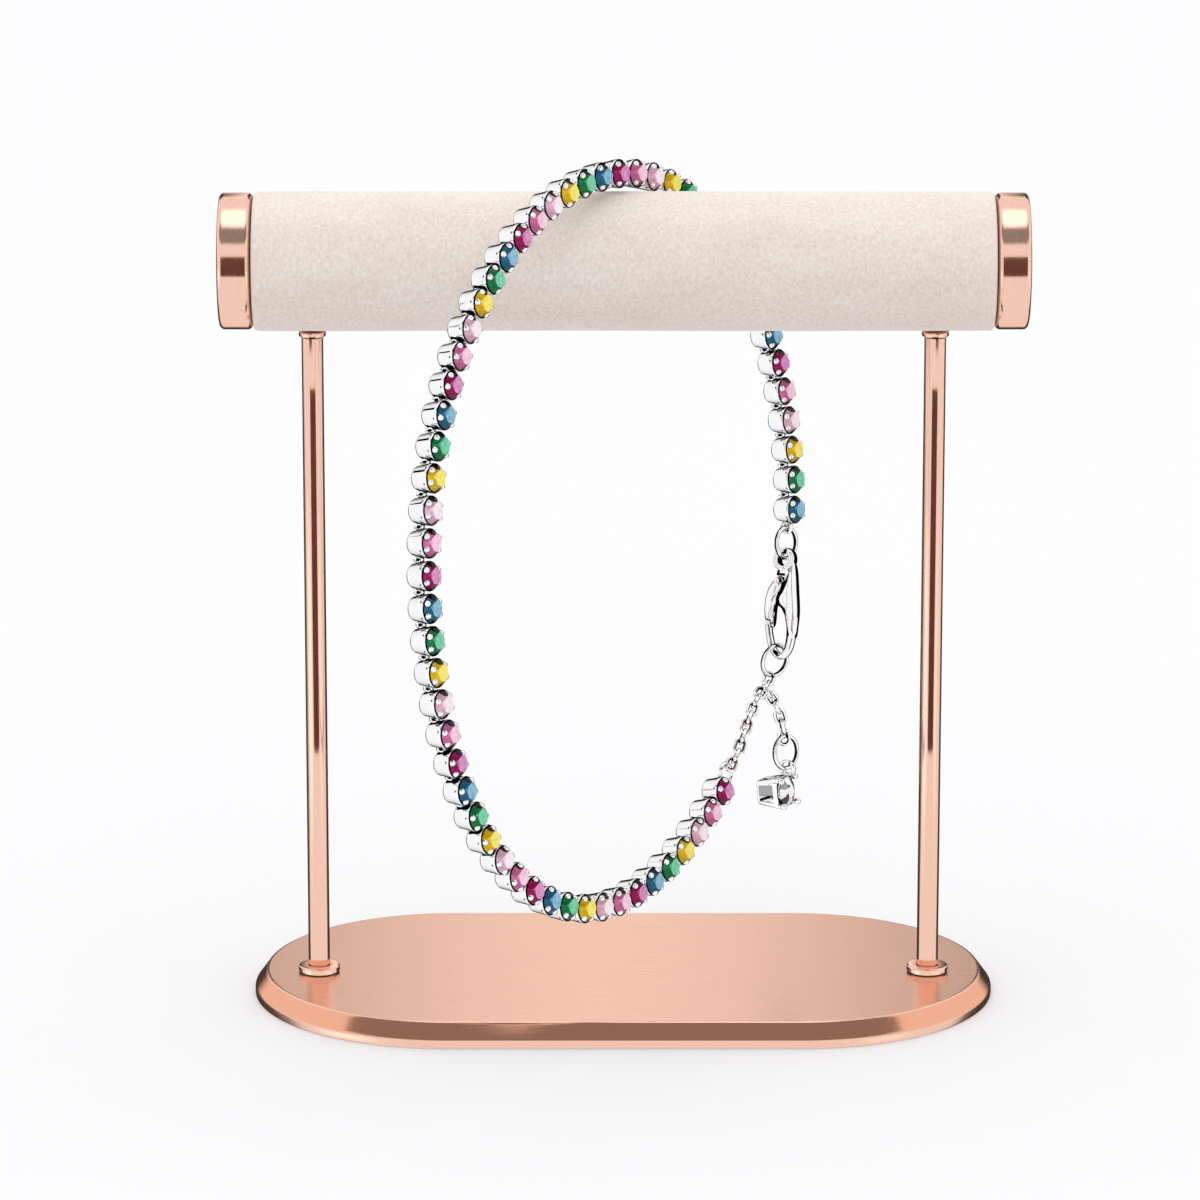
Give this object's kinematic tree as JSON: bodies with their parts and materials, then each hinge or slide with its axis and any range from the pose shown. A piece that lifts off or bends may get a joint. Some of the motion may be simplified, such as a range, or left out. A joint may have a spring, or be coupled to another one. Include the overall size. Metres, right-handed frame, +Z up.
{
  "type": "stone-set bracelet on a display stand",
  "caption": "Link bracelet of round cup settings with faceted coloured stones, closed by a lobster clasp with extender and drop, hung over the velvet bar of a rose-coloured metal stand.",
  "frame": {"origin": "centre of the base plate's underside", "axes": "+X along the bar to the right, +Y to the back, +Z up"},
  "size_m": [0.071, 0.0528, 0.0767],
  "materials": {
    "rose_metal": "satin rose-coloured plating, brushed lengthwise",
    "rose_rod": "polished rose-coloured plating",
    "cream_velvet": "short-pile cream velvet",
    "silver": "mirror-polished silver",
    "clear_stone": "clear brilliant-cut stone",
    "blue_stone": "faceted blue stone",
    "green_stone": "faceted green stone",
    "yellow_stone": "faceted yellow stone",
    "light_pink_stone": "faceted light pink stone",
    "pink_stone": "faceted pink stone",
    "magenta_stone": "faceted magenta stone"
  },
  "bodies": {
    "stand_and_bracelet": {"base_plate": "rose_metal", "post_left": "rose_rod", "post_right": "rose_rod", "post_collar_left": "rose_rod", "post_collar_right": "rose_rod", "post_flange_left": "rose_rod", "post_flange_right": "rose_rod", "bar_roll": "cream_velvet", "end_cap_left": "rose_metal", "end_cap_right": "rose_metal", "setting_run_01": "silver", "setting_run_02": "silver", "setting_run_03": "silver", "setting_run_04": "silver", "setting_run_05": "silver", "setting_run_06": "silver", "setting_run_07": "silver", "setting_run_08": "silver", "setting_run_09": "silver", "setting_run_10": "silver", "jump_ring": "silver", "clasp_claw": "silver", "hook_ring": "silver", "extender_chain": "silver", "tail_chain": "silver", "end_ring": "silver", "drop_setting": "silver", "drop_stone": "clear_stone"},
    "lever": {"clasp_lever": "silver"}
  },
  "joints": [
    {"name": "clasp_lever_hinge", "type": "hinge", "parent": "stand_and_bracelet", "child": "lever", "pos_m": [0.01441, 0.01412, 0.03464], "axis": [-0.556, -0.7905, 0.2569], "range_deg": [0, 16], "stiffness_Nm_per_rad": 0.003, "springref_deg": -20.05}
  ]
}
